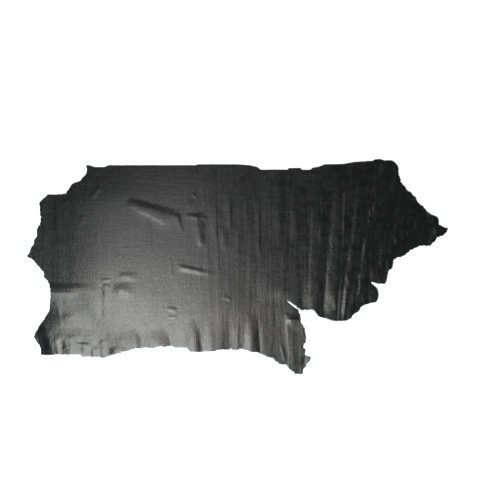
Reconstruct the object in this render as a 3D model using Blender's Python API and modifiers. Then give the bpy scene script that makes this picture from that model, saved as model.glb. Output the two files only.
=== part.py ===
"""A side of black cattle leather: half a hide, cut along the backbone and laid out flat, grain side up.

X runs along the backbone from the butt to the neck, Y from the belly to the backbone, and Z is up.
The origin is on the surface that the hide lies on, below the middle of its length and width.
"""

import math
import random
from collections import namedtuple

import bpy
import numpy as np
from mathutils.geometry import delaunay_2d_cdt

MM = 0.001

# Sizes, all in millimetres.
THICKNESS = 1.6
FIELD_PITCH = 62.0      # between points where the leather lies flat
FIELD_CLEAR = 30.0      # a flat area's point stays this far from every other
ROW_PITCH = 52.0        # between rows of points along a fold's crest
FOLD_CLEAR = 9.0        # a fold's point stays this far from every other
EDGE_CLEAR = 9.0        # an inner point stays this far inside the edge
SAME_POINT = 1e-5       # points nearer than this are one
EDGE_SEED = 7

# Where a fold's points stand across it, in shares of its flanks.
ACROSS = (-1.0, -0.66, -0.36, 0.0, 0.36, 0.66, 1.0)

# The edge, clockwise from the butt end of the backbone cut. A corner is its distance along the hide from the
# butt's point and its distance out from the highest point of the backbone cut. Between corners the edge
# wanders by up to `ragged` to either side, once in each `step`.
Stretch = namedtuple("Stretch", "name ragged step corners")

EDGE = (
    Stretch("backbone cut", 0.5, 60, (
        (330, 35), (350, 35), (380, 45), (435, 45), (455, 35), (940, 35), (960, 30), (1180, 30), (1250, 35),
        (1290, 45), (1310, 60), (1460, 60), (1464, 51), (1532, 50), (1538, 60), (1588, 60), (1598, 49),
        (1635, 43), (1666, 30), (1770, 28), (1805, 22), (1830, 17), (1935, 10), (1950, 2), (1975, 0),
        (2000, 8), (2040, 7), (2058, 17), (2075, 36))),
    Stretch("neck", 2.5, 22, (
        (2081, 52), (2081, 90), (2096, 131), (2126, 171), (2143, 182), (2174, 211), (2198, 252),
        (2219, 264), (2241, 294), (2268, 312), (2294, 322), (2304, 336), (2305, 365), (2325, 379),
        (2355, 388))),
    Stretch("throat", 2.5, 22, (
        (2358, 396), (2352, 409), (2324, 432), (2292, 445), (2286, 458), (2270, 472), (2262, 486),
        (2200, 486), (2145, 510), (2118, 538), (2065, 558), (2050, 572), (2048, 605), (2025, 628),
        (2015, 668), (2005, 698))),
    Stretch("throat notch", 1.5, 24, (
        (1970, 700), (1932, 688), (1926, 694), (1958, 722), (1966, 742), (1966, 780), (1955, 802))),
    Stretch("brisket", 2.0, 20, (
        (1922, 807), (1888, 818), (1868, 830), (1865, 846), (1827, 873), (1816, 894), (1788, 904),
        (1760, 909), (1710, 903), (1636, 881), (1601, 846), (1570, 847), (1530, 846))),
    Stretch("armpit slit", 0.5, 30, (
        (1507, 827), (1478, 806), (1448, 789), (1470, 810), (1499, 833), (1520, 845), (1522, 862),
        (1530, 872))),
    Stretch("fore shank", 2.5, 20, (
        (1531, 900), (1536, 924), (1556, 955), (1561, 985), (1561, 1026), (1548, 1036), (1545, 1056),
        (1557, 1064), (1560, 1104), (1585, 1108), (1586, 1130), (1562, 1148), (1562, 1164), (1546, 1176),
        (1543, 1203), (1500, 1204), (1474, 1180), (1450, 1150), (1420, 1150), (1394, 1136), (1376, 1114),
        (1350, 1110), (1312, 1092))),
    Stretch("belly", 1.5, 17, (
        (1288, 1083), (1260, 1081), (1235, 1071), (1192, 1061), (1184, 1069), (1150, 1069), (1142, 1061),
        (1130, 1069), (1070, 1068), (1052, 1076), (970, 1081), (918, 1080), (895, 1058), (835, 1057),
        (800, 1047), (768, 1054), (745, 1048), (715, 1058), (610, 1060), (530, 1083), (470, 1101),
        (432, 1115), (403, 1109), (313, 1108), (298, 1095), (222, 1094))),
    Stretch("hind shank", 2.0, 24, (
        (78, 1097), (78, 1058), (38, 998), (45, 975), (63, 947), (94, 904), (126, 849), (130, 795),
        (137, 770), (126, 698), (94, 657), (95, 637), (46, 580), (31, 563), (9, 553))),
    Stretch("butt", 2.0, 24, (
        (0, 542), (15, 525), (21, 507), (39, 475), (43, 450), (57, 434), (55, 399), (62, 376), (73, 366),
        (77, 320), (71, 290), (71, 240), (92, 224), (118, 197), (155, 199), (215, 197), (236, 166),
        (252, 143), (303, 118), (310, 105), (327, 90), (335, 65))),
)

# The folds, each a ridge along its crest. `near` is its flank towards the butt and the belly, `far` the one
# towards the neck and the backbone: a width, and whether it is a smooth wave, breaks at the crest in a
# crease, or swells like an arch that meets the flat in a sharp line. `bow` is how far the crest's middle
# bends to the far side. The crest rises over `rise` at its start and falls over `fall` at its end; 0 there
# means that it runs off the hide's edge. `girth` is the share of its width that it has at each end.
Fold = namedtuple("Fold", "name start end bow height near far rise fall girth")
WAVE, CREASE, ARCH = "wave", "crease", "arch"
EVEN = (1.0, 1.0)

FOLDS = (
    Fold("neck fold 1", (1410, 600), (1432, 800), 0, 2.2, (150, WAVE), (80, WAVE), 150, 60, EVEN),
    Fold("neck fold 2", (1652, 160), (1626, 845), 0, 3.2, (60, ARCH), (44, WAVE), 260, 0, (1.0, 1.0)),
    Fold("neck fold 2, foot", (1640, 680), (1632, 845), 0, 1.4, (70, ARCH), (34, WAVE), 120, 0, EVEN),
    Fold("neck fold 3", (1764, 140), (1728, 900), 4, 4.2, (56, ARCH), (30, WAVE), 100, 0, (0.75, 1.45)),
    Fold("neck fold 3, foot", (1736, 600), (1726, 900), 0, 4.0, (82, WAVE), (28, WAVE), 220, 0, EVEN),
    Fold("neck fold 4", (1876, 120), (1772, 915), 0, 2.6, (34, WAVE), (60, WAVE), 100, 0, (1.0, 0.8)),
    Fold("neck fold 4, foot", (1802, 640), (1771, 915), 0, 3.6, (30, WAVE), (50, WAVE), 190, 0, EVEN),
    Fold("neck fold 5", (1978, 0), (1858, 790), -8, 3.0, (30, CREASE), (46, CREASE), 240, 80, (0.8, 1.0)),
    Fold("neck fold 6", (2056, 270), (1982, 700), 4, 4.6, (64, WAVE), (80, CREASE), 300, 0, EVEN),
    Fold("neck top swell", (1706, 130), (1850, 122), 0, 0.8, (50, WAVE), (50, WAVE), 40, 50, EVEN),
    Fold("upper back wrinkle", (540, 238), (866, 344), 6, 2.3, (110, WAVE), (48, WAVE), 140, 60, (0.55, 1.1)),
    Fold("its underside", (556, 244), (800, 362), 0, 1.2, (28, WAVE), (60, WAVE), 30, 60, (0.8, 1.1)),
    Fold("its tail", (836, 300), (876, 440), 0, 1.2, (32, WAVE), (20, WAVE), 30, 100, EVEN),
    Fold("pinch, top", (884, 316), (985, 320), 0, 1.1, (32, WAVE), (14, WAVE), 20, 40, EVEN),
    Fold("pinch, side", (950, 300), (984, 510), -8, 2.2, (38, WAVE), (58, WAVE), 30, 60, (1.0, 0.6)),
    Fold("middle wrinkle", (836, 600), (1078, 652), 0, 2.0, (32, WAVE), (21, WAVE), 40, 160, (1.0, 0.7)),
    Fold("flank wrinkle, upper", (512, 652), (645, 668), 0, 1.1, (24, WAVE), (26, WAVE), 30, 90, (0.9, 1.6)),
    Fold("flank wrinkle, lower", (474, 728), (616, 748), 0, 1.9, (38, WAVE), (44, WAVE), 50, 80, (0.9, 1.4)),
    Fold("flank dimple", (780, 838), (845, 850), 0, 1.5, (20, WAVE), (20, WAVE), 16, 25, EVEN),
    Fold("butt wrinkle", (356, 224), (414, 150), 0, 0.9, (24, WAVE), (24, WAVE), 25, 25, EVEN),
    Fold("butt swell", (310, 20), (270, 980), 0, 6.0, (270, WAVE), (520, WAVE), 240, 260, EVEN),
    Fold("hind edge fold", (115, 731), (350, 722), 0, 2.8, (130, WAVE), (46, WAVE), 0, 200, (1.0, 0.5)),
    Fold("hind edge lip", (10, 712), (290, 775), 0, 11.0, (100, ARCH), (64, WAVE), 0, 260, (0.9, 1.1)),
    Fold("hind shank droop", (95, 800), (156, 1120), 0, 13.0, (80, ARCH), (240, WAVE), 200, 0, EVEN),
    Fold("belly ripple 1", (376, 1040), (378, 1112), 0, 1.8, (24, WAVE), (70, WAVE), 36, 0, EVEN),
    Fold("belly ripple 2", (490, 1040), (492, 1112), 0, 2.4, (32, WAVE), (80, WAVE), 36, 0, EVEN),
    Fold("belly ripple 3", (604, 940), (606, 1062), 0, 5.2, (300, WAVE), (44, WAVE), 110, 0, (0.8, 1.0)),
    Fold("belly ripple 4", (726, 940), (736, 1056), 0, 5.0, (170, WAVE), (72, ARCH), 110, 0, (0.7, 1.0)),
    Fold("belly ripple 5", (934, 890), (936, 1082), 0, 4.6, (90, WAVE), (50, WAVE), 170, 0, (0.6, 1.0)),
    Fold("belly ripple 6", (1026, 890), (1030, 1078), 0, 2.2, (34, ARCH), (96, WAVE), 130, 0, (0.7, 1.0)),
    Fold("belly swell", (1100, 520), (1120, 1072), 0, 3.2, (230, WAVE), (160, WAVE), 380, 0, EVEN),
    Fold("belly furrow", (1128, 790), (1132, 1072), 0, -3.0, (64, CREASE), (130, WAVE), 230, 0, (0.7, 1.0)),
    Fold("belly ripple 8", (1172, 880), (1176, 1062), 0, 1.1, (32, WAVE), (34, WAVE), 120, 0, EVEN),
    Fold("belly ripple 9", (1257, 840), (1260, 1082), 0, 4.2, (54, WAVE), (46, ARCH), 190, 0, (0.6, 1.0)),
    Fold("belly ripple 10", (1324, 850), (1330, 1100), 0, 1.4, (24, ARCH), (130, WAVE), 150, 0, EVEN),
    Fold("shoulder swell", (1515, 480), (1530, 846), 0, 1.3, (160, WAVE), (120, WAVE), 220, 0, EVEN),
    Fold("shoulder gutter", (1544, 600), (1544, 846), 0, -1.2, (34, WAVE), (22, WAVE), 180, 16, EVEN),
    Fold("elbow swell", (1545, 800), (1555, 1180), 0, 6.0, (240, WAVE), (72, WAVE), 140, 0, EVEN),
    Fold("shank fold, inner", (1418, 1030), (1446, 1156), 0, 1.6, (9, WAVE), (42, CREASE), 30, 40, (0.6, 1.0)),
    Fold("shank fold, outer", (1457, 860), (1463, 1120), 0, 0.8, (8, WAVE), (60, WAVE), 20, 140, EVEN),
    Fold("shank knuckle", (1490, 1075), (1500, 1165), 0, 1.0, (40, WAVE), (30, WAVE), 30, 30, EVEN),
    Fold("shank dent", (1562, 1096), (1572, 1166), 0, -2.0, (56, WAVE), (40, WAVE), 30, 30, EVEN),
    Fold("armpit fold", (1444, 896), (1540, 902), 0, 4.6, (46, WAVE), (48, CREASE), 40, 0, (0.9, 1.0)),
)


def ragged_edge(stretches):
    """The edge's points, with a seeded wander to either side of the straight run between two corners."""
    dice = random.Random(EDGE_SEED)
    corners = [(stretch, corner) for stretch in stretches for corner in stretch.corners]
    points = []
    for (stretch, start), (_, end) in zip(corners, corners[1:] + corners[:1]):
        run = math.dist(start, end)
        along = (end[0] - start[0]) / run
        out = (end[1] - start[1]) / run
        steps = max(1, round(run / stretch.step))
        for step in range(steps):
            went = run * step / steps
            aside = dice.uniform(-stretch.ragged, stretch.ragged) if step else 0.0
            points.append((start[0] + went * along - aside * out, start[1] + went * out + aside * along))
    return np.array(points)


def crest_line(fold):
    """A fold's start, its direction, the direction of its far flank, and its length."""
    start = np.array(fold.start, float)
    run = np.array(fold.end, float) - start
    length = np.hypot(*run)
    ahead = run / length
    far = np.array((-ahead[1], ahead[0]))
    if far[0] - far[1] < 0:
        far = -far
    return start, ahead, far, length


def ease(share):
    """A smooth rise from 0 to 1 as the share does."""
    share = np.clip(share, 0.0, 1.0)
    return share * share * (3.0 - 2.0 * share)


def height_across(form, share):
    """A flank's height, 1 at the crest and 0 at its foot, for the share of its width from the crest."""
    left = 1.0 - np.clip(share, 0.0, 1.0)
    if form == CREASE:
        return left * left
    if form == ARCH:
        return left * (2.0 - left)
    return ease(left)


def along_crest(fold, share):
    """The crest's bend to the far side and the fold's girth, at this share of its length."""
    share = np.clip(share, 0.0, 1.0)
    return 4.0 * fold.bow * share * (1.0 - share), fold.girth[0] + share * (fold.girth[1] - fold.girth[0])


def lift(points):
    """How high the leather lies at each point: 0 where it is flat, and the sum of the folds there."""
    height = np.zeros(len(points))
    for fold in FOLDS:
        start, ahead, far, length = crest_line(fold)
        went = (points - start) @ ahead
        bend, girth = along_crest(fold, went / length)
        aside = ((points - start) @ far - bend) / girth
        on_near = height_across(fold.near[1], -aside / fold.near[0])
        on_far = height_across(fold.far[1], aside / fold.far[0])
        rise = ease(went / fold.rise) if fold.rise else 1.0
        fall = ease((length - went) / fold.fall) if fold.fall else 1.0
        height += fold.height * np.where(aside > 0, on_far, on_near) * rise * fall
    return height


def fold_points(fold):
    """Rows of points across a fold, from one end of its crest to the other."""
    start, ahead, far, length = crest_line(fold)
    rows = max(2, round(length / ROW_PITCH))
    for row in range(rows + 1):
        share = row / rows
        bend, girth = along_crest(fold, share)
        middle = start + ahead * length * share + far * bend
        for place in ACROSS:
            yield middle + far * place * girth * (fold.far if place > 0 else fold.near)[0]


def field_points(edge):
    """A staggered lattice over the whole hide, for the parts that lie flat."""
    low = edge.min(axis=0)
    high = edge.max(axis=0)
    for row, out in enumerate(np.arange(low[1], high[1], FIELD_PITCH * math.sqrt(0.75))):
        shift = FIELD_PITCH / 2 if row % 2 else 0.0
        for along in np.arange(low[0] + shift, high[0], FIELD_PITCH):
            yield np.array((along, out))


def is_inside(point, edge):
    """Whether a point lies within the edge, and EDGE_CLEAR or more from it."""
    after = np.roll(edge, -1, axis=0)
    run = after - edge
    share = np.clip(((point - edge) * run).sum(axis=1) / (run * run).sum(axis=1), 0.0, 1.0)
    nearest = np.hypot(*(edge + run * share[:, None] - point).T).min()
    spans = (edge[:, 1] > point[1]) != (after[:, 1] > point[1])
    crossing = edge[:, 0] + (point[1] - edge[:, 1]) / np.where(spans, run[:, 1], 1.0) * run[:, 0]
    return nearest >= EDGE_CLEAR and (spans & (point[0] < crossing)).sum() % 2 == 1


def inner_points(edge):
    """The points within the edge: the folds' own first, highest fold first, then the flat areas'."""
    wanted = []
    for fold in sorted(FOLDS, key=lambda one: -one.height):
        wanted += [(point, FOLD_CLEAR) for point in fold_points(fold)]
    wanted += [(point, FIELD_CLEAR) for point in field_points(edge)]
    kept = []
    for point, clear in wanted:
        if kept and np.hypot(*(np.array(kept) - point).T).min() < clear:
            continue
        if is_inside(point, edge):
            kept.append(point)
    return np.array(kept)


def black_leather():
    """Black finished grain with a satin sheen."""
    material = bpy.data.materials.new("black leather")
    material.use_nodes = True
    shader = material.node_tree.nodes["Principled BSDF"]
    shader.inputs["Base Color"].default_value = (0.014, 0.014, 0.015, 1.0)
    shader.inputs["Roughness"].default_value = 0.48
    shader.inputs["Metallic"].default_value = 0.0
    return material


def hide(collection):
    """The side itself: its underside laid over the folds, then thickened upwards."""
    edge = ragged_edge(EDGE)
    points = np.vstack((edge, inner_points(edge)))
    loop = list(range(len(edge)))
    spread = delaunay_2d_cdt([tuple(point) for point in points], [], [loop], 1, SAME_POINT)
    flat = np.array([tuple(point) for point in spread[0]])
    faces = [tuple(face) for face, within in zip(spread[2], spread[5]) if within]
    middle = (edge.min(axis=0) + edge.max(axis=0)) / 2
    across = flat[:, 0] - middle[0]
    up = middle[1] - flat[:, 1]
    spots = np.column_stack((across, up, lift(flat))) * MM
    mesh = bpy.data.meshes.new("hide")
    mesh.from_pydata(spots.tolist(), [], faces)
    mesh.materials.append(black_leather())
    body = bpy.data.objects.new("hide", mesh)
    collection.objects.link(body)
    if mesh.polygons[0].normal.z < 0:
        mesh.flip_normals()
    thicken = body.modifiers.new("thickness", "SOLIDIFY")
    thicken.thickness = THICKNESS * MM
    thicken.offset = 1.0
    return body


for old in list(bpy.data.objects):
    bpy.data.objects.remove(old, do_unlink=True)
parts = bpy.data.collections.new("leather_hide")
bpy.context.scene.collection.children.link(parts)
hide(parts)
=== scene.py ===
"""A side of black cattle leather, laid out flat on a pale floor with its grain side up."""

import math
import random
from collections import namedtuple

import bpy
import numpy as np
from mathutils import Matrix, Vector
from mathutils.geometry import delaunay_2d_cdt
from mathutils.kdtree import KDTree


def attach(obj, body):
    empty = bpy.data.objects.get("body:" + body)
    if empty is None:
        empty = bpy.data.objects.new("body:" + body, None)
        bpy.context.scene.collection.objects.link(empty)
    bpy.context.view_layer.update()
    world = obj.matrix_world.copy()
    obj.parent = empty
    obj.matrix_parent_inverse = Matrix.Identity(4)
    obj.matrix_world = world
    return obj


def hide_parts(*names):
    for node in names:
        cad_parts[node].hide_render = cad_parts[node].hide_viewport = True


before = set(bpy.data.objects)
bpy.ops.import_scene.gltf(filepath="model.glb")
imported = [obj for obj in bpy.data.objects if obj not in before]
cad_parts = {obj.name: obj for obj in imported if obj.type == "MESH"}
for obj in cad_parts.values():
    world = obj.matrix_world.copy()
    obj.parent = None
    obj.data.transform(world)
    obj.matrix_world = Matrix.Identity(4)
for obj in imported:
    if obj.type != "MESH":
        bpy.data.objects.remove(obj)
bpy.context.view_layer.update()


# The cut edge
# The hide is halved along the backbone with a straight knife. The rest of its edge is as the tannery
# trimmed it: rough round the neck, the throat and the shanks, and smoother along the belly.

EDGE_SEED = 7
FRAY_SEED = 12
FRAY_STEP = 8.0         # between the small nibs of the frayed edge

# In millimetres. A corner is its distance along the hide from the butt's point, and out from the top of
# the backbone cut. Between corners the edge wanders by up to `ragged`, once in each `step`, and it frays by
# up to `fray`.
Stretch = namedtuple("Stretch", "name ragged step fray corners")

EDGE = (
    Stretch("backbone cut", 0.5, 60, 0.3, (
        (330, 35), (350, 35), (380, 45), (435, 45), (455, 35), (940, 35), (960, 30), (1180, 30),
        (1250, 35), (1290, 45), (1310, 60), (1460, 60), (1464, 51), (1532, 50), (1538, 60), (1588, 60),
        (1598, 49), (1635, 43), (1666, 30), (1770, 28), (1805, 22), (1830, 17), (1935, 10), (1950, 2),
        (1975, 0), (2000, 8), (2040, 7), (2058, 17), (2075, 36))),
    Stretch("neck", 2.5, 22, 3.6, (
        (2081, 52), (2081, 90), (2096, 131), (2126, 171), (2143, 182), (2174, 211), (2198, 252),
        (2219, 264), (2241, 294), (2268, 312), (2294, 322), (2304, 336), (2305, 365), (2325, 379),
        (2355, 388))),
    Stretch("throat", 2.5, 22, 3.6, (
        (2358, 396), (2352, 409), (2324, 432), (2292, 445), (2286, 458), (2270, 472), (2262, 486),
        (2200, 486), (2145, 510), (2118, 538), (2065, 558), (2050, 572), (2048, 605), (2025, 628),
        (2015, 668), (2005, 698))),
    Stretch("throat notch", 1.5, 24, 0.8, (
        (1970, 700), (1932, 688), (1926, 694), (1958, 722), (1966, 742), (1966, 780), (1955, 802))),
    Stretch("brisket", 2.0, 20, 3.2, (
        (1922, 807), (1888, 818), (1868, 830), (1865, 846), (1827, 873), (1816, 894), (1788, 904),
        (1760, 909), (1710, 903), (1636, 881), (1601, 846), (1570, 847), (1530, 846))),
    Stretch("armpit slit", 0.5, 30, 0.4, (
        (1507, 827), (1478, 806), (1448, 789), (1470, 810), (1499, 833), (1520, 845), (1522, 862),
        (1530, 872))),
    Stretch("fore shank", 2.5, 20, 4.0, (
        (1531, 900), (1536, 924), (1556, 955), (1561, 985), (1561, 1026), (1548, 1036), (1545, 1056),
        (1557, 1064), (1560, 1104), (1585, 1108), (1586, 1130), (1562, 1148), (1562, 1164),
        (1546, 1176), (1543, 1203), (1500, 1204), (1474, 1180), (1450, 1150), (1420, 1150),
        (1394, 1136), (1376, 1114), (1350, 1110), (1312, 1092))),
    Stretch("belly", 1.5, 17, 2.0, (
        (1288, 1083), (1260, 1081), (1235, 1071), (1192, 1061), (1184, 1069), (1150, 1069), (1142, 1061),
        (1130, 1069), (1070, 1068), (1052, 1076), (970, 1081), (918, 1080), (895, 1058), (835, 1057),
        (800, 1047), (768, 1054), (745, 1048), (715, 1058), (610, 1060), (530, 1083), (470, 1101),
        (432, 1115), (403, 1109), (313, 1108), (298, 1095), (222, 1094))),
    Stretch("hind shank", 2.0, 24, 3.0, (
        (78, 1097), (78, 1058), (38, 998), (45, 975), (63, 947), (94, 904), (126, 849), (130, 795),
        (137, 770), (126, 698), (94, 657), (95, 637), (46, 580), (31, 563), (9, 553))),
    Stretch("butt", 2.0, 24, 3.0, (
        (0, 542), (15, 525), (21, 507), (39, 475), (43, 450), (57, 434), (55, 399), (62, 376), (73, 366),
        (77, 320), (71, 290), (71, 240), (92, 224), (118, 197), (155, 199), (215, 197), (236, 166),
        (252, 143), (303, 118), (310, 105), (327, 90), (335, 65))),
)


def wander(start, end, steps, reach, dice):
    """Points from start towards end, each but the first pushed aside by up to reach."""
    run = math.dist(start, end)
    along = (end[0] - start[0]) / run
    out = (end[1] - start[1]) / run
    for step in range(steps):
        went = run * step / steps
        aside = dice.uniform(-reach, reach) if step else 0.0
        yield start[0] + went * along - aside * out, start[1] + went * out + aside * along


def ragged_edge(stretches):
    """The whole edge: its corners, the wander between them, and the fray between those points."""
    wander_dice = random.Random(EDGE_SEED)
    fray_dice = random.Random(FRAY_SEED)
    corners = [(stretch, corner) for stretch in stretches for corner in stretch.corners]
    coarse = []
    for (stretch, start), (_, end) in zip(corners, corners[1:] + corners[:1]):
        steps = max(1, round(math.dist(start, end) / stretch.step))
        coarse += [(stretch, point) for point in wander(start, end, steps, stretch.ragged, wander_dice)]
    fine = []
    for (stretch, start), (_, end) in zip(coarse, coarse[1:] + coarse[:1]):
        steps = max(1, round(math.dist(start, end) / FRAY_STEP))
        fine += wander(start, end, steps, stretch.fray, fray_dice)
    return np.array(fine)


edge = ragged_edge(EDGE)


# The folds
# Where the hide was hung, rolled and handled it keeps soft folds: long ones down the neck, ripples along
# the belly, and pinches on the back and the shanks.

# In millimetres. A fold is a ridge along a crest from `start` to `end`. Its `near` flank is towards the
# butt and the belly, its `far` one towards the neck and the backbone. Each has a width and a form: a smooth
# wave, a crease that breaks at the crest, or a swelling arch. The crest's middle bends to the far side by
# `bow`. The crest rises over `rise` and falls over `fall`, and 0 there means that it runs off the edge.
# `girth` is the share of their widths that the flanks have at the crest's start and at its end.
Fold = namedtuple("Fold", "name start end bow height near far rise fall girth")
WAVE, CREASE, ARCH = "wave", "crease", "arch"
EVEN = (1.0, 1.0)       # a girth that stays the same

FOLDS = (
    Fold("neck fold 1", (1410, 600), (1432, 800), 0, 2.2, (150, WAVE), (80, WAVE), 150, 60, EVEN),
    Fold("neck fold 2", (1652, 160), (1626, 845), 0, 3.5, (60, ARCH), (44, WAVE), 260, 0, EVEN),
    Fold("neck fold 2, foot", (1640, 680), (1632, 845), 0, 1.4, (70, ARCH), (34, WAVE), 120, 0, EVEN),
    Fold("neck fold 3", (1764, 140), (1728, 900), 4, 4.6, (56, ARCH), (30, WAVE), 100, 0, (0.75, 1.45)),
    Fold("neck fold 3, foot", (1736, 600), (1726, 900), 0, 4.0, (82, WAVE), (28, WAVE), 220, 0, EVEN),
    Fold("neck fold 4", (1876, 120), (1772, 915), 0, 3.1, (34, WAVE), (60, WAVE), 100, 0, (1.0, 0.8)),
    Fold("neck fold 4, foot", (1802, 640), (1771, 915), 0, 3.6, (30, WAVE), (50, WAVE), 190, 0, EVEN),
    Fold("neck fold 5", (1978, 0), (1858, 790), -8, 3.5, (30, CREASE), (46, CREASE), 240, 80, (0.8, 1.0)),
    Fold("neck fold 6", (2056, 270), (1982, 700), 4, 4.6, (64, WAVE), (80, CREASE), 300, 0, EVEN),
    Fold("neck top swell", (1706, 130), (1850, 122), 0, 0.8, (50, WAVE), (50, WAVE), 40, 50, EVEN),
    Fold("back wrinkle", (540, 238), (866, 344), 6, 2.3, (110, WAVE), (48, WAVE), 140, 60, (0.55, 1.1)),
    Fold("its underside", (556, 244), (800, 362), 0, 1.2, (28, WAVE), (60, WAVE), 30, 60, (0.8, 1.1)),
    Fold("its tail", (836, 300), (876, 440), 0, 1.2, (32, WAVE), (20, WAVE), 30, 100, EVEN),
    Fold("pinch, top", (884, 316), (985, 320), 0, 1.1, (32, WAVE), (14, WAVE), 20, 40, EVEN),
    Fold("pinch, side", (950, 300), (984, 510), -8, 2.2, (38, WAVE), (58, WAVE), 30, 60, (1.0, 0.6)),
    Fold("middle wrinkle", (836, 600), (1078, 652), 0, 2.0, (32, WAVE), (21, WAVE), 40, 160, (1.0, 0.7)),
    Fold("flank wrinkle, upper", (512, 652), (645, 668), 0, 1.5, (24, WAVE), (26, WAVE), 30, 90, (0.9, 1.6)),
    Fold("flank wrinkle, lower", (474, 728), (616, 748), 0, 2.3, (46, WAVE), (44, WAVE), 50, 80, (0.9, 1.4)),
    Fold("flank dimple", (780, 838), (845, 850), 0, 1.5, (20, WAVE), (20, WAVE), 16, 25, EVEN),
    Fold("butt wrinkle", (356, 224), (414, 150), 0, 0.9, (24, WAVE), (24, WAVE), 25, 25, EVEN),
    Fold("butt swell", (310, 20), (270, 980), 0, 6.0, (270, WAVE), (520, WAVE), 240, 260, EVEN),
    Fold("hind edge fold", (115, 731), (410, 722), 0, 2.8, (130, WAVE), (46, WAVE), 0, 220, (1.0, 0.5)),
    Fold("hind edge lip", (10, 716), (290, 794), 0, 11.0, (104, ARCH), (66, WAVE), 0, 260, (0.9, 1.1)),
    Fold("hind swell", (250, 806), (470, 800), 0, 1.4, (140, WAVE), (120, WAVE), 120, 120, EVEN),
    Fold("hind shank droop", (54, 800), (168, 1120), 0, 13.0, (58, ARCH), (275, WAVE), 200, 0, (0.85, 1.1)),
    Fold("belly ripple 1", (376, 1040), (378, 1112), 0, 1.8, (24, WAVE), (70, WAVE), 36, 0, EVEN),
    Fold("belly ripple 2", (490, 1040), (492, 1112), 0, 2.4, (32, WAVE), (80, WAVE), 36, 0, EVEN),
    Fold("belly ripple 3", (604, 940), (606, 1062), 0, 5.2, (300, WAVE), (44, WAVE), 110, 0, (0.8, 1.0)),
    Fold("belly ripple 4", (726, 940), (736, 1056), 0, 5.0, (170, WAVE), (72, ARCH), 110, 0, (0.7, 1.0)),
    Fold("belly ripple 5", (934, 890), (936, 1082), 0, 5.4, (90, WAVE), (50, WAVE), 140, 0, (0.6, 1.0)),
    Fold("belly ripple 6", (1026, 890), (1030, 1078), 0, 2.2, (34, ARCH), (96, WAVE), 130, 0, (0.7, 1.0)),
    Fold("belly swell", (1100, 520), (1120, 1072), 0, 3.2, (320, WAVE), (160, WAVE), 380, 0, EVEN),
    Fold("belly furrow", (1128, 790), (1132, 1072), 0, -3.0, (64, CREASE), (130, WAVE), 230, 0, (0.7, 1.0)),
    Fold("belly ripple 8", (1172, 880), (1176, 1062), 0, 1.1, (32, WAVE), (34, WAVE), 120, 0, EVEN),
    Fold("belly ripple 9", (1257, 840), (1260, 1082), 0, 4.2, (54, WAVE), (46, ARCH), 190, 0, (0.6, 1.0)),
    Fold("belly ripple 10", (1324, 850), (1330, 1100), 0, 1.4, (24, ARCH), (130, WAVE), 150, 0, EVEN),
    Fold("shoulder swell", (1515, 480), (1530, 846), 0, 1.3, (160, WAVE), (120, WAVE), 220, 0, EVEN),
    Fold("shoulder gutter", (1544, 600), (1544, 846), 0, -1.2, (34, WAVE), (22, WAVE), 180, 16, EVEN),
    Fold("elbow swell", (1600, 800), (1610, 1180), 0, 4.2, (230, WAVE), (72, WAVE), 140, 0, EVEN),
    Fold("shank fold, inner", (1418, 1030), (1450, 1156), 0, 1.3, (9, WAVE), (34, CREASE), 30, 40,
         (0.6, 1.0)),
    Fold("shank fold, outer", (1454, 860), (1466, 1120), 0, 1.0, (12, WAVE), (50, CREASE), 20, 140, EVEN),
    Fold("shank knuckle", (1490, 1075), (1500, 1165), 0, 0.5, (40, WAVE), (30, WAVE), 30, 30, EVEN),
    Fold("shank dent", (1562, 1096), (1572, 1166), 0, -2.0, (56, WAVE), (40, WAVE), 30, 30, EVEN),
    Fold("armpit fold", (1444, 896), (1540, 902), 0, 4.6, (54, WAVE), (48, CREASE), 40, 0, (0.5, 1.5)),
)


def crest_line(fold):
    """A fold's start, its direction, the direction of its far flank, and its length."""
    start = np.array(fold.start, float)
    run = np.array(fold.end, float) - start
    length = np.hypot(*run)
    ahead = run / length
    far = np.array((-ahead[1], ahead[0]))
    if far[0] - far[1] < 0:
        far = -far
    return start, ahead, far, length


def ease(share):
    """A smooth rise from 0 to 1 as the share does."""
    share = np.clip(share, 0.0, 1.0)
    return share * share * (3.0 - 2.0 * share)


def height_across(form, share):
    """A flank's height, 1 at the crest and 0 at its foot, for the share of its width from the crest."""
    left = 1.0 - np.clip(share, 0.0, 1.0)
    if form == CREASE:
        return left * left
    if form == ARCH:
        return left * (2.0 - left)
    return ease(left)


def along_crest(fold, share):
    """The crest's bend to the far side, most halfway along it, and the fold's girth at this share of it."""
    share = np.clip(share, 0.0, 1.0)
    bend = 4.0 * fold.bow * share * (1.0 - share)
    return bend, fold.girth[0] + share * (fold.girth[1] - fold.girth[0])


def lift(points, folds):
    """How high the folds raise the leather at each point."""
    height = np.zeros(len(points))
    for fold in folds:
        start, ahead, far, length = crest_line(fold)
        went = (points - start) @ ahead
        bend, girth = along_crest(fold, went / length)
        aside = ((points - start) @ far - bend) / girth
        on_near = height_across(fold.near[1], -aside / fold.near[0])
        on_far = height_across(fold.far[1], aside / fold.far[0])
        rise = ease(went / fold.rise) if fold.rise else 1.0
        fall = ease((length - went) / fold.fall) if fold.fall else 1.0
        height += fold.height * np.where(aside > 0, on_far, on_near) * rise * fall
    return height


# The fine creases
# Smaller marks in the grain: roll lines down the ribs, wrinkles at the joints of the shanks, and marks
# from handling. They raise or dent the grain and leave the flesh side as it is.

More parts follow.
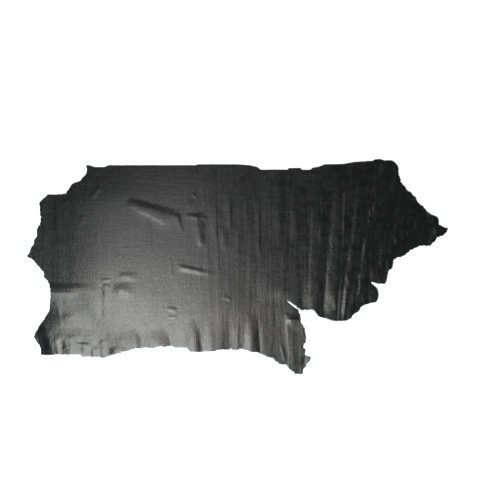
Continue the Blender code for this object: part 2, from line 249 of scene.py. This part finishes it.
FINE_CREASES = (
    Fold("butt line, upper", (160, 218), (164, 440), 0, 0.40, (10, WAVE), (30, WAVE), 20, 60, EVEN),
    Fold("butt line, lower", (174, 420), (180, 700), 0, 0.35, (7, WAVE), (50, WAVE), 60, 30, EVEN),
    Fold("butt mark", (196, 262), (235, 232), 0, 0.6, (14, WAVE), (14, WAVE), 14, 20, EVEN),
    Fold("butt blotch", (306, 310), (318, 376), 0, 0.6, (40, WAVE), (26, WAVE), 20, 30, EVEN),
    Fold("back dash", (400, 386), (402, 490), 0, 0.3, (24, WAVE), (10, WAVE), 30, 40, EVEN),
    Fold("loin shade", (676, 320), (690, 530), 0, 0.8, (22, WAVE), (22, WAVE), 60, 60, EVEN),
    Fold("loin dash", (520, 506), (661, 500), 0, 0.2, (16, WAVE), (14, WAVE), 40, 40, EVEN),
    Fold("flank line", (802, 540), (812, 670), 0, 0.5, (9, WAVE), (9, WAVE), 30, 20, EVEN),
    Fold("pinch crumb", (918, 190), (952, 214), 0, 0.6, (16, WAVE), (10, WAVE), 14, 14, EVEN),
    Fold("pinch glow", (902, 220), (910, 300), 0, 0.6, (10, WAVE), (50, WAVE), 30, 30, EVEN),
    Fold("pinch arm", (975, 324), (1016, 340), 0, 0.8, (16, WAVE), (16, WAVE), 10, 20, EVEN),
    Fold("rib roll 1", (1056, 220), (1058, 500), 0, 1.0, (40, WAVE), (16, WAVE), 90, 90, EVEN),
    Fold("rib roll 2", (1128, 150), (1138, 400), 0, 1.0, (36, WAVE), (18, WAVE), 80, 60, EVEN),
    Fold("rib roll 3", (1106, 380), (1112, 540), 0, 1.1, (32, WAVE), (26, WAVE), 50, 60, EVEN),
    Fold("rib roll 4", (1180, 360), (1184, 700), 0, 0.7, (30, WAVE), (30, WAVE), 90, 120, EVEN),
    Fold("rib roll 5", (1298, 190), (1302, 560), 0, 0.9, (34, WAVE), (12, WAVE), 80, 80, EVEN),
    Fold("rib roll 6", (1346, 80), (1350, 420), 0, 0.8, (26, WAVE), (40, WAVE), 60, 120, EVEN),
    Fold("shoulder trough", (1404, 30), (1412, 470), 0, 1.6, (60, WAVE), (40, WAVE), 30, 160, EVEN),
    Fold("shoulder roll", (1502, 120), (1506, 520), 0, 1.3, (36, WAVE), (70, WAVE), 90, 160, EVEN),
    Fold("shoulder shade", (1666, 160), (1664, 500), 0, 1.2, (44, WAVE), (26, WAVE), 90, 120, EVEN),
    Fold("elbow hollow", (1094, 770), (1146, 792), 0, 0.8, (14, WAVE), (20, WAVE), 16, 16, EVEN),
    Fold("belly line", (1120, 790), (1124, 930), 0, 0.5, (20, WAVE), (10, WAVE), 30, 60, EVEN),
    Fold("shank line", (413, 690), (414, 904), 0, -0.8, (9, WAVE), (24, WAVE), 30, 50, EVEN),
    Fold("flank curl, top", (420, 674), (472, 678), 0, 0.8, (16, WAVE), (10, WAVE), 10, 16, EVEN),
    Fold("flank curl, turn", (431, 702), (474, 726), 0, 0.7, (16, WAVE), (10, WAVE), 10, 16, EVEN),
    Fold("flank nick", (436, 734), (440, 796), 0, 0.6, (8, WAVE), (8, WAVE), 10, 20, EVEN),
    Fold("hind ruck 1", (150, 748), (300, 752), 0, 0.5, (14, WAVE), (12, WAVE), 0, 50, EVEN),
    Fold("hind ruck 2", (190, 800), (330, 806), 0, 0.9, (16, WAVE), (24, WAVE), 40, 60, EVEN),
    Fold("hind tear", (118, 786), (166, 812), 0, -1.5, (16, CREASE), (10, WAVE), 0, 24, EVEN),
    Fold("hind line", (172, 820), (196, 962), 0, 0.6, (9, WAVE), (18, WAVE), 30, 60, EVEN),
    Fold("hock wrinkle", (196, 886), (284, 880), 0, 0.6, (34, WAVE), (22, WAVE), 24, 40, EVEN),
    Fold("shank lump", (256, 1033), (372, 1043), 0, 1.7, (54, WAVE), (14, WAVE), 44, 44, EVEN),
    Fold("shank pucker 1", (172, 990), (176, 1092), 0, 0.9, (22, WAVE), (20, WAVE), 30, 0, EVEN),
    Fold("shank pucker 2", (214, 1000), (222, 1070), 0, 0.5, (18, WAVE), (16, WAVE), 20, 30, EVEN),
    Fold("shank pucker 3", (252, 1010), (250, 1090), 0, 1.0, (30, WAVE), (22, WAVE), 40, 0, EVEN),
    Fold("shank pucker 4", (196, 1060), (246, 1052), 0, 0.9, (16, WAVE), (10, WAVE), 16, 20, EVEN),
    Fold("shank pucker 5", (404, 1020), (446, 1028), 0, 1.0, (26, WAVE), (12, WAVE), 14, 16, EVEN),
    Fold("shank pucker 6", (420, 1050), (428, 1100), 0, 1.0, (18, WAVE), (20, WAVE), 16, 0, EVEN),
    Fold("belly pucker", (548, 1050), (552, 1080), 0, 1.2, (26, WAVE), (16, WAVE), 16, 0, EVEN),
    Fold("flank dimple, lower", (785, 884), (842, 886), 0, 0.8, (16, WAVE), (12, WAVE), 16, 16, EVEN),
    Fold("shoulder crease", (2002, 96), (2010, 220), 0, 1.1, (16, WAVE), (30, WAVE), 30, 30, EVEN),
    Fold("neck mark, top", (2086, 306), (2130, 312), 0, 1.0, (16, WAVE), (14, WAVE), 14, 14, EVEN),
    Fold("neck mark, side", (2140, 316), (2142, 456), 0, 1.6, (16, WAVE), (60, WAVE), 20, 60, EVEN),
    Fold("neck swell", (2256, 380), (2262, 480), 0, 3.0, (60, WAVE), (50, WAVE), 40, 40, EVEN),
)


# The leather
# One sheet of leather with the grain side on top, the flesh side below, and between them the cut edge,
# whose upper corner is rounded over. Both sides are nets of triangles, fine above and coarse below.

MM = 0.001              # a millimetre in metres
THICKNESS = 1.6         # in millimetres, as the sizes below are
GRAIN_PITCH = 5.8       # between the grain side's points
FLESH_PITCH = 15.0      # between the flesh side's points
ROW_PITCH = math.sqrt(0.75)     # between rows of even triangles, as a share of the pitch along them
ROUNDING = 0.8          # how far in and down the cut edge's upper corner is rounded
SAME_POINT = 1e-5       # points nearer than this are one
FILL_INSIDE = 1         # asks for the triangles within the loop alone
GRAIN, FLESH, CUT = 0, 1, 2     # which surface a face belongs to


def inset(loop, reach):
    """The edge moved inwards by reach."""
    run = np.roll(loop, -1, axis=0) - np.roll(loop, 1, axis=0)
    run /= np.hypot(*run.T)[:, None]
    return loop + reach * np.column_stack((-run[:, 1], run[:, 0]))


def lattice(loop, pitch):
    """A staggered lattice of points within the loop, none nearer to it than half the pitch."""
    low = loop.min(axis=0)
    high = loop.max(axis=0)
    after = np.roll(loop, -1, axis=0)
    near_edge = KDTree(len(loop))
    for index, point in enumerate(loop):
        near_edge.insert((*point, 0.0), index)
    near_edge.balance()
    kept = []
    for row, out in enumerate(np.arange(low[1], high[1], pitch * ROW_PITCH)):
        spans = (loop[:, 1] > out) != (after[:, 1] > out)
        share = (out - loop[spans, 1]) / (after[spans, 1] - loop[spans, 1])
        crossings = np.sort(loop[spans, 0] + share * (after[spans, 0] - loop[spans, 0]))
        for along in np.arange(low[0] + pitch / 2 * (row % 2), high[0], pitch):
            inside = np.searchsorted(crossings, along) % 2
            if inside and near_edge.find((along, out, 0.0))[2] > pitch / 2:
                kept.append((along, out))
    return np.array(kept)


def net_within(loop, pitch):
    """Triangles that fill the loop: their points, their corners, and which points the loop's own became."""
    points = [tuple(point) for point in np.vstack((loop, lattice(loop, pitch)))]
    ring = list(range(len(loop)))
    places, _, corners, point_sources, _, loops_round = delaunay_2d_cdt(
        points, [], [ring], FILL_INSIDE, SAME_POINT)
    rim = [0] * len(loop)
    for spot, sources in enumerate(point_sources):
        for source in sources:
            if source < len(loop):
                rim[source] = spot
    faces = [tuple(face) for face, within in zip(corners, loops_round) if within]
    return np.array([tuple(place) for place in places]), faces, rim


def band(upper, lower):
    """Four-cornered faces from one ring of points to the next, facing out of the hide."""
    return [(upper[i - 1], upper[i], lower[i], lower[i - 1]) for i in range(len(upper))]


def sheet_mesh():
    """The whole sheet as one closed mesh round the origin, each face marked as grain, flesh or cut edge."""
    grain, grain_faces, grain_rim = net_within(inset(edge, ROUNDING), GRAIN_PITCH)
    flesh, flesh_faces, flesh_rim = net_within(edge, FLESH_PITCH)
    below = len(grain) + len(edge)
    shoulder = list(range(len(grain), below))
    flat = np.vstack((grain, edge, flesh))
    height = lift(flat, FOLDS)
    height[:len(grain)] += THICKNESS + lift(grain, FINE_CREASES)
    height[len(grain):below] += THICKNESS - ROUNDING
    faces = [face[::-1] for face in grain_faces]
    faces += [tuple(corner + below for corner in face) for face in flesh_faces]
    rounded = band(grain_rim, shoulder)
    cut = band(shoulder, [spot + below for spot in flesh_rim])
    kinds = [GRAIN] * len(grain_faces) + [FLESH] * len(flesh_faces)
    kinds += [GRAIN] * len(rounded) + [CUT] * len(cut)
    corners = np.array([corner for stretch in EDGE for corner in stretch.corners])
    middle = (corners.min(axis=0) + corners.max(axis=0)) / 2
    spots = np.column_stack((flat[:, 0] - middle[0], middle[1] - flat[:, 1], height)) * MM
    mesh = bpy.data.meshes.new("hide_leather")
    mesh.from_pydata(spots.tolist(), [], faces + rounded + cut)
    mesh.attributes.new("surface", "INT", "FACE").data.foreach_set("value", kinds)
    mesh.attributes.new("slack", "FLOAT", "POINT").data.foreach_set("value", slackness(flat))
    mesh.attributes.new("rolled", "FLOAT", "POINT").data.foreach_set("value", roll_marks(flat))
    mesh.shade_smooth()
    return mesh


# Where the leather begins to turn slack, and where it is fully so, out from the backbone or along the hide.
BELLY_OUT = (720, 1050)
NECK_ALONG = (1300, 1950)
BUTT_ALONG = (150, 0)
SHANK_ALONG = (480, 280)
SHANK_OUT = (900, 1020)
BELLY_SLACK, BUTT_SLACK, SHANK_SLACK = 0.35, 0.6, 0.9       # how slack they are, where the neck is 1

# Where the marks of rolling begin to show, and where they show fully, along the hide.
RIBS_ALONG = (780, 1040)
THROAT_ALONG = (2400, 1700)
BUTT_END_ALONG = (260, 60)


def turning(places, reach):
    """0 at places up to the reach's start, 1 from its end on, and a smooth turn between the two."""
    start, end = reach
    return ease((places - start) / (end - start))


def slackness(points):
    """How slack the leather is at each point: 0 on the back, and up to 1 at the neck."""
    along, out = points.T
    belly = turning(out, BELLY_OUT) * BELLY_SLACK
    neck = turning(along, NECK_ALONG)
    butt = turning(along, BUTT_ALONG) * BUTT_SLACK
    hind_shank = turning(along, SHANK_ALONG) * turning(out, SHANK_OUT) * SHANK_SLACK
    return np.max((belly, neck, butt, hind_shank), axis=0)


def roll_marks(points):
    """How much each point shows the marks of rolling: most on the ribs, the shoulder and the butt's end."""
    along = points[:, 0]
    ribs = turning(along, RIBS_ALONG) * turning(along, THROAT_ALONG)
    return np.maximum(ribs, turning(along, BUTT_END_ALONG))


# Its uneven surface
# Leather never dries quite flat. Long ripples run from the backbone to the belly, the slack parts cockle,
# and the whole sheet swells a little. Both sides rise together, so the sheet keeps its thickness.

UNEVENNESS = (                  # in metres, apart from the seed
    ("Ripple Height", 0.0008),
    ("Ripple Width", 0.050),
    ("Ripple Length", 0.900),
    ("Cockle Height", 0.0020),
    ("Cockle Width", 0.045),
    ("Swell Height", 0.0016),
    ("Swell Width", 0.220),
    ("Seed", 3.0),
)
WHOLE_A, WHOLE_B = 2, 3         # the inputs of a Compare node that take whole numbers


def add(tree, kind, inputs=None, **settings):
    """A node in a tree, with its settings, and with values or links on its inputs."""
    node = tree.nodes.new(kind)
    for name, value in settings.items():
        setattr(node, name, value)
    for name, value in (inputs or {}).items():
        if isinstance(value, bpy.types.NodeSocket):
            tree.links.new(value, node.inputs[name])
        else:
            node.inputs[name].default_value = value
    return node


def sum_of(tree, *terms):
    """The sum of several values in a tree."""
    total = terms[0]
    for term in terms[1:]:
        total = add(tree, "ShaderNodeMath", {0: total, 1: term}, operation="ADD").outputs[0]
    return total


def times(tree, left, right):
    """The product of two values in a tree."""
    return add(tree, "ShaderNodeMath", {0: left, 1: right}, operation="MULTIPLY").outputs[0]


def waves(tree, place, width, length, height, seed):
    """Soft random waves over the hide, `width` apart along it and `length` apart across it."""
    split = add(tree, "ShaderNodeSeparateXYZ", {0: place})
    along = add(tree, "ShaderNodeMath", {0: split.outputs["X"], 1: width}, operation="DIVIDE")
    across = add(tree, "ShaderNodeMath", {0: split.outputs["Y"], 1: length}, operation="DIVIDE")
    spot = add(tree, "ShaderNodeCombineXYZ", {"X": along.outputs[0], "Y": across.outputs[0]})
    noise = add(tree, "ShaderNodeTexNoise", {
        "Vector": spot.outputs[0], "W": seed, "Scale": 1.0, "Detail": 1.0, "Roughness": 0.4,
    }, noise_dimensions="4D")
    return times(tree, noise.outputs[0], height)


def unevenness_tree(materials):
    """Raises the sheet by its ripples, cockles and swells, then gives each surface its finish."""
    tree = bpy.data.node_groups.new("uneven leather", "GeometryNodeTree")
    tree.interface.new_socket("Geometry", in_out="INPUT", socket_type="NodeSocketGeometry")
    for name, value in UNEVENNESS:
        size = tree.interface.new_socket(name, in_out="INPUT", socket_type="NodeSocketFloat")
        size.default_value = value
    tree.interface.new_socket("Geometry", in_out="OUTPUT", socket_type="NodeSocketGeometry")
    given = add(tree, "NodeGroupInput").outputs
    place = add(tree, "GeometryNodeInputPosition").outputs[0]
    slack = add(tree, "GeometryNodeInputNamedAttribute", {"Name": "slack"}, data_type="FLOAT")
    rolled = add(tree, "GeometryNodeInputNamedAttribute", {"Name": "rolled"}, data_type="FLOAT")
    ripple = waves(tree, place, given["Ripple Width"], given["Ripple Length"], given["Ripple Height"],
                   given["Seed"])
    cockle = waves(tree, place, given["Cockle Width"], given["Cockle Width"], given["Cockle Height"],
                   given["Seed"])
    swell = waves(tree, place, given["Swell Width"], given["Swell Width"], given["Swell Height"],
                  given["Seed"])
    rise = sum_of(tree, times(tree, ripple, rolled.outputs["Attribute"]),
                  times(tree, cockle, slack.outputs["Attribute"]), swell)
    offset = add(tree, "ShaderNodeCombineXYZ", {"Z": rise})
    raised = add(tree, "GeometryNodeSetPosition", {
        "Geometry": given["Geometry"], "Offset": offset.outputs[0],
    })
    shown = add(tree, "GeometryNodeRealizeInstances", {"Geometry": raised.outputs[0]}).outputs[0]
    surface = add(tree, "GeometryNodeInputNamedAttribute", {"Name": "surface"}, data_type="INT")
    for kind, material in materials.items():
        chosen = add(tree, "FunctionNodeCompare", {
            WHOLE_A: surface.outputs["Attribute"], WHOLE_B: kind,
        }, data_type="INT", operation="EQUAL")
        shown = add(tree, "GeometryNodeSetMaterial", {
            "Geometry": shown, "Selection": chosen.outputs[0], "Material": material,
        }).outputs[0]
    add(tree, "NodeGroupOutput", {"Geometry": shown})
    return tree


# Its finishes
# The grain side is pigmented black and sealed with a thin satin finish over fine pebbled grain. The flesh
# side is a short dark nap, and the cut edge shows the dyed fibres.


def material_named(name):
    """A new material with its node tree, its shader, and the place on the hide."""
    material = bpy.data.materials.new(name)
    material.use_nodes = True
    tree = material.node_tree
    place = add(tree, "ShaderNodeTexCoord").outputs["Object"]
    return material, tree, tree.nodes["Principled BSDF"], place


def grain_waves(tree, place, width, length, detail, fineness=0.5):
    """Random waves from 0 to 1, `width` apart along the hide and `length` apart across it, in metres."""
    turned = add(tree, "ShaderNodeMapping", {"Vector": place, "Scale": (1 / width, 1 / length, 1 / width)})
    return add(tree, "ShaderNodeTexNoise", {
        "Vector": turned.outputs[0], "Scale": 1.0, "Detail": detail, "Roughness": fineness,
    }).outputs[0]


def spread_to(tree, value, low, high):
    """A value from 0 to 1 spread to run from low to high."""
    return add(tree, "ShaderNodeMapRange", {"Value": value, "To Min": low, "To Max": high}).outputs[0]


PEBBLES = 620.0                 # the grain's pebbles in a metre
PEBBLE_DEPTH = 0.00005          # in metres

# Waves in the finish, `width` apart along the hide and `length` apart across it, in metres, with `detail`
# and `fineness` for the smaller unevenness that they carry. Their strength goes from `least` to `most` with
# the mark that they follow: slack, rolled, handled (the greater of those two) or loose (slack times itself,
# which is strong only in the slackest parts). Where the two are equal, the layer is as strong everywhere.
Layer = namedtuple("Layer", "name width length detail fineness follows least most")

RELIEF = (                      # strength in metres
    Layer("speckle", 0.0055, 0.0110, 2.0, 0.5, "rolled", 0.0005, 0.0005),
    Layer("streaks", 0.008, 0.120, 2.0, 0.5, "rolled", 0.0003, 0.0006),
    Layer("rolls", 0.045, 0.450, 2.0, 0.5, "rolled", 0.0004, 0.0022),
    Layer("rucks", 0.150, 0.016, 2.0, 0.5, "rolled", 0.0004, 0.0005),
    Layer("wrinkles", 0.024, 0.034, 2.0, 0.5, "slack", 0.0003, 0.0010),
    Layer("cockles", 0.060, 0.110, 1.0, 0.5, "loose", 0.0, 0.0075),
)
DULLNESS = (                    # strength in roughness
    Layer("bands along", 0.180, 0.016, 3.0, 0.6, "rolled", 0.09, 0.09),
    Layer("bands across", 0.014, 0.260, 3.0, 0.6, "rolled", 0.06, 0.16),
    Layer("clouds", 0.055, 0.040, 3.0, 0.5, "rolled", 0.21, 0.21),
    Layer("flecks", 0.008, 0.008, 2.0, 0.5, "handled", 0.34, 0.16),
)
UNHANDLED_SHINE = -0.090        # added to the roughness where the hide is neither slack nor rolled
GLOSSIEST = 0.26                # the least that the roughness then is
SLACK_SHINE = -0.045            # added last, where the hide is slack
FIBRE_HEIGHT = 0.0003           # of the fibres in the nap and in the cut edge, in metres
BRUSHING_HEIGHT = 0.0010        # of the nap's brushed patches, in metres
BRUSHED_SHARE = 0.6             # how much of the nap's shade is from its patches, and the rest from fibres


def layered(tree, place, layers, marks):
    """Each layer's waves in turn, as strong as the mark that they follow makes them."""
    for layer in layers:
        waved = grain_waves(tree, place, layer.width, layer.length, layer.detail, layer.fineness)
        yield times(tree, waved, spread_to(tree, marks[layer.follows], layer.least, layer.most))


def two_shades(tree, shader, value, dark, light, start=0.35, stop=0.65):
    """Colours a finish dark where the value is up to start, and light from stop on."""
    shades = add(tree, "ShaderNodeValToRGB", {"Fac": value})
    for end, position, shade in zip(shades.color_ramp.elements, (start, stop), (dark, light)):
        end.position = position
        end.color = (*shade, 1.0)
    tree.links.new(shades.outputs["Color"], shader.inputs["Base Color"])


def raised_by(tree, shader, height):
    """Gives a finish its relief, from heights in metres."""
    bump = add(tree, "ShaderNodeBump", {"Height": height, "Strength": 1.0, "Distance": 1.0})
    tree.links.new(bump.outputs[0], shader.inputs["Normal"])


def black_grain():
    """Black finished grain: pebbles, fine streaks and mottling, and cockles where the hide is slack."""
    material, tree, shader, place = material_named("black grain")
    slack = add(tree, "ShaderNodeAttribute", attribute_name="slack").outputs["Fac"]
    rolled = add(tree, "ShaderNodeAttribute", attribute_name="rolled").outputs["Fac"]
    handled = add(tree, "ShaderNodeMath", {0: rolled, 1: slack}, operation="MAXIMUM").outputs[0]
    marks = {"slack": slack, "rolled": rolled, "handled": handled, "loose": times(tree, slack, slack)}
    cells = add(tree, "ShaderNodeTexVoronoi", {"Vector": place, "Scale": PEBBLES},
                feature="SMOOTH_F1").outputs["Distance"]
    pebbles = times(tree, cells, -PEBBLE_DEPTH)
    raised_by(tree, shader, sum_of(tree, pebbles, *layered(tree, place, RELIEF, marks)))
    patches = sum_of(tree, *layered(tree, place, DULLNESS, marks),
                     spread_to(tree, handled, UNHANDLED_SHINE, 0.0))
    dulled = add(tree, "ShaderNodeMath", {0: patches, 1: GLOSSIEST}, operation="MAXIMUM").outputs[0]
    tree.links.new(sum_of(tree, dulled, times(tree, slack, SLACK_SHINE)), shader.inputs["Roughness"])
    shader.inputs["Coat Weight"].default_value = 0.25
    shader.inputs["Coat Roughness"].default_value = 0.20
    mottling = grain_waves(tree, place, width=0.020, length=0.040, detail=3.0)
    two_shades(tree, shader, mottling, dark=(0.0028, 0.0028, 0.0030), light=(0.0050, 0.0050, 0.0052))
    return material


def dark_nap():
    """The flesh side's short dark nap, brushed unevenly."""
    material, tree, shader, place = material_named("dark nap")
    brushed = grain_waves(tree, place, width=0.060, length=0.090, detail=4.0)
    fibres = grain_waves(tree, place, width=0.0012, length=0.0030, detail=4.0)
    nap = sum_of(tree, times(tree, brushed, BRUSHED_SHARE), times(tree, fibres, 1.0 - BRUSHED_SHARE))
    two_shades(tree, shader, nap, dark=(0.030, 0.030, 0.032), light=(0.062, 0.060, 0.060))
    shader.inputs["Roughness"].default_value = 0.95
    shader.inputs["Sheen Weight"].default_value = 0.25
    raised_by(tree, shader, sum_of(tree, times(tree, fibres, FIBRE_HEIGHT),
                                   times(tree, brushed, BRUSHING_HEIGHT)))
    return material


def cut_fibres():
    """The cut edge: dyed through, dull and a little fibrous."""
    material, tree, shader, place = material_named("cut edge")
    fibres = grain_waves(tree, place, width=0.0010, length=0.0010, detail=4.0)
    two_shades(tree, shader, fibres, dark=(0.010, 0.010, 0.010), light=(0.034, 0.032, 0.031),
               start=0.0, stop=1.0)
    shader.inputs["Roughness"].default_value = 0.85
    raised_by(tree, shader, times(tree, fibres, FIBRE_HEIGHT))
    return material


# The finished hide
# Finished and trimmed, the side is spread out with its flesh side down and lies there by its own weight,
# with nothing sewn or fixed to it.

SHARP_ANGLE = math.radians(50)  # faces that meet at more than this show a sharp corner


def laid_hide():
    """The sheet with its unevenness worked in and its three finishes on, and its lowest point at 0."""
    plain = bpy.data.objects.new("plain_sheet", sheet_mesh())
    bpy.context.scene.collection.objects.link(plain)
    uneven = plain.modifiers.new("unevenness", "NODES")
    uneven.node_group = unevenness_tree({GRAIN: black_grain(), FLESH: dark_nap(), CUT: cut_fibres()})
    sizes = dict(UNEVENNESS)
    for socket in uneven.node_group.interface.items_tree:
        if socket.name in sizes:
            uneven[socket.identifier] = sizes[socket.name]
    shaped = plain.evaluated_get(bpy.context.evaluated_depsgraph_get())
    mesh = bpy.data.meshes.new_from_object(shaped)
    plain.modifiers.remove(uneven)
    bpy.data.objects.remove(plain, do_unlink=True)
    mesh.transform(Matrix.Translation((0.0, 0.0, -min(point.co.z for point in mesh.vertices))))
    mesh.set_sharp_from_angle(angle=SHARP_ANGLE)
    piece = bpy.data.objects.new("hide_leather", mesh)
    bpy.context.scene.collection.objects.link(piece)
    return piece


leather = laid_hide()
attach(leather, "root")
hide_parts("hide")


# The floor
# The hide is spread on a plain floor, painted a matt white without pattern or shine. It is flat, and it
# goes on well past what the camera takes in.

FLOOR_SIZE = 40.0       # in metres
FLOOR_GAP = 0.0006      # down from the hide's underside, so that the two faces aren't in one plane


def plain_floor():
    """A wide flat floor just under the hide."""
    bpy.ops.mesh.primitive_plane_add(size=FLOOR_SIZE, location=(0.0, 0.0, -FLOOR_GAP))
    floor = bpy.context.object
    floor.name = "floor"
    material, _, shader, _ = material_named("white floor")
    shader.inputs["Base Color"].default_value = (0.90, 0.90, 0.90, 1.0)
    shader.inputs["Roughness"].default_value = 1.0
    shader.inputs["Specular IOR Level"].default_value = 0.0
    floor.data.materials.append(material)


plain_floor()


# The camera and the light
# The camera looks straight down. Four soft lights hang over the hind half and the belly side, so that the
# satin finish shines there and the neck stays dark. Four wide raised panels round the hide light the floor.

CAMERA_SPOT = Vector((0.014, 0.148, 5.0))
VIEW_WIDTH = 2.688      # how much of the floor the camera takes in, in metres
ROOM_COLOUR = (0.044, 0.048, 0.046, 1.0)

# `spot` is where a light hangs, `aim` the place that it is turned to and `size` its width and height, in
# metres. `power` is in watts.
Softbox = namedtuple("Softbox", "name spot aim size power tint")


def overhead_camera():
    """A camera that looks straight down."""
    camera = bpy.data.cameras.new("camera")
    camera.sensor_width = 36.0
    camera.lens = camera.sensor_width * CAMERA_SPOT.z / VIEW_WIDTH
    holder = bpy.data.objects.new("camera", camera)
    holder.location = CAMERA_SPOT
    bpy.context.scene.collection.objects.link(holder)
    bpy.context.scene.camera = holder


SOFTBOXES = (
    Softbox("key", (-0.84, -0.73, 3.0), (-0.52, -0.40, 0.0), (1.1, 0.7), 23.6, (1.0, 1.0, 0.97)),
    Softbox("key spill", (-0.09, -0.70, 3.0), (-0.05, -0.38, 0.0), (0.7, 0.6), 6.0, (1.0, 0.94, 0.92)),
    Softbox("fill", (-0.73, 0.15, 3.0), (-0.45, 0.15, 0.0), (0.9, 0.9), 5.6, (1.0, 1.0, 1.0)),
    Softbox("belly light", (-1.06, -1.93, 3.0), (-0.66, -1.15, 0.0), (0.8, 0.5), 118.0, (0.88, 0.97, 1.0)),
    Softbox("back", (0.3, 5.4, 4.4), (0.0, 0.2, 0.0), (9.0, 4.4), 370.0, (1.0, 0.96, 0.93)),
    Softbox("front", (0.3, -5.0, 4.4), (0.0, 0.2, 0.0), (9.0, 4.4), 150.0, (1.0, 1.0, 1.0)),
    Softbox("left", (-7.5, 0.2, 3.0), (0.0, 0.2, 0.0), (7.0, 3.0), 60.0, (0.88, 0.96, 1.0)),
    Softbox("right", (5.8, 0.2, 4.4), (0.0, 0.2, 0.0), (7.0, 4.4), 140.0, (1.0, 1.0, 1.0)),
)


def hang_softbox(softbox):
    """A rectangular soft light at its spot, turned to what it lights."""
    light = bpy.data.lights.new(softbox.name, "AREA")
    light.shape = "RECTANGLE"
    light.size, light.size_y = softbox.size
    light.energy = softbox.power
    light.color = softbox.tint
    holder = bpy.data.objects.new(softbox.name, light)
    holder.location = softbox.spot
    towards = Vector(softbox.aim) - Vector(softbox.spot)
    holder.rotation_euler = towards.to_track_quat("-Z", "Y").to_euler()
    bpy.context.scene.collection.objects.link(holder)


overhead_camera()
for softbox in SOFTBOXES:
    hang_softbox(softbox)
world = bpy.data.worlds.new("room")
world.use_nodes = True
world.node_tree.nodes["Background"].inputs["Color"].default_value = ROOM_COLOUR
bpy.context.scene.world = world
bpy.context.scene.view_settings.view_transform = "Standard"
